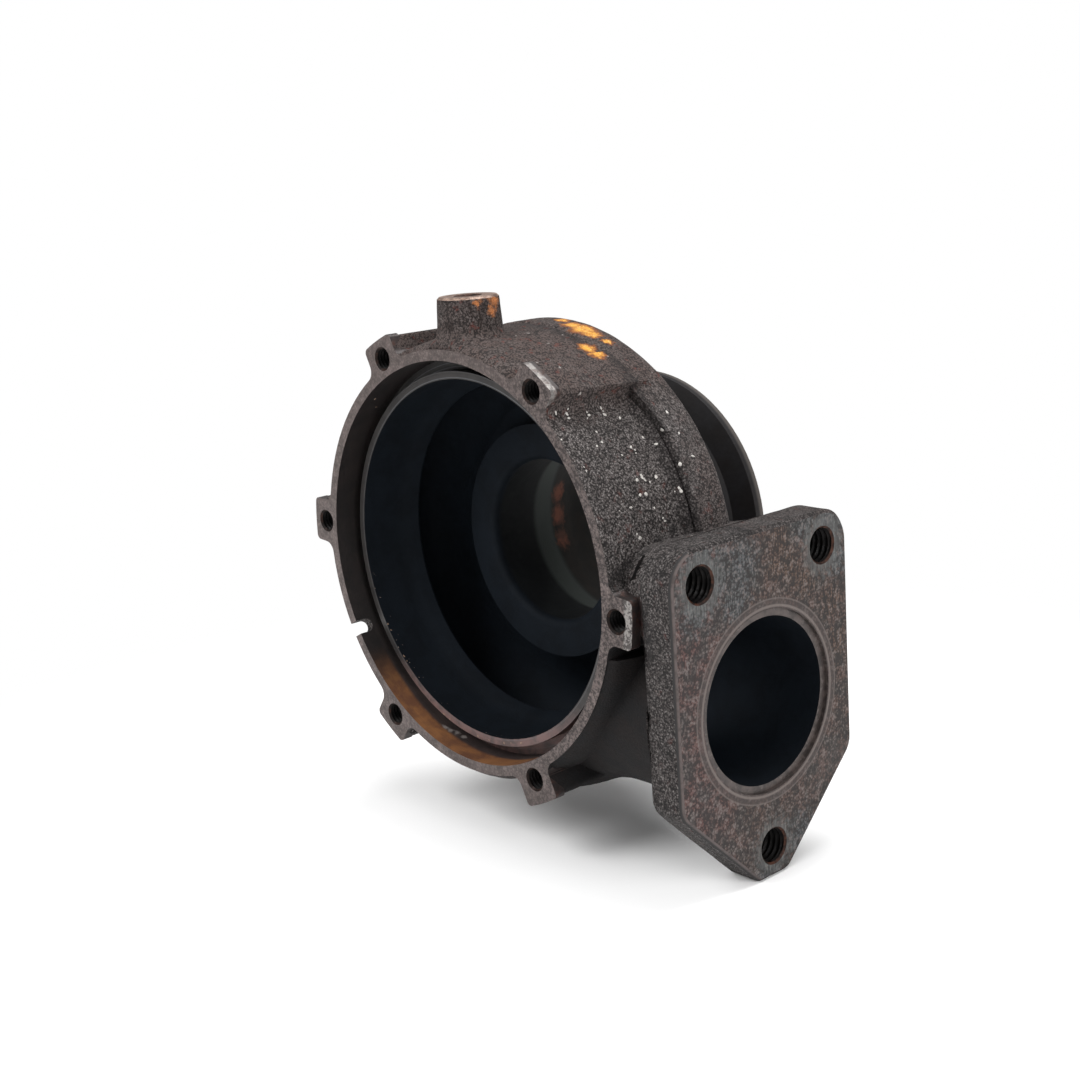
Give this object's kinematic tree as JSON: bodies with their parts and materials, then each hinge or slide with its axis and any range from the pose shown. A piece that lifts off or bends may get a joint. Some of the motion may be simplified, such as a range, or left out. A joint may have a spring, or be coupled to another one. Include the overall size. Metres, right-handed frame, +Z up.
{
  "type": "turbocharger housing",
  "caption": "Cast iron turbine-side housing of a turbocharger, with a lugged joint face, a volute, a gas inlet flange and a round outlet.",
  "frame": {"origin": "where the turbine axis crosses the front joint face", "axes": "+Y along the turbine axis, from the joint face towards the outlet; +Z up through the tapped boss; +X out of the gas inlet"},
  "size_m": [0.1095, 0.0579, 0.1134],
  "materials": {
    "cast_iron": "rough as cast, rusty, machined at the joint faces"
  },
  "bodies": {
    "root": {"turbine_housing": "cast_iron"}
  },
  "joints": []
}
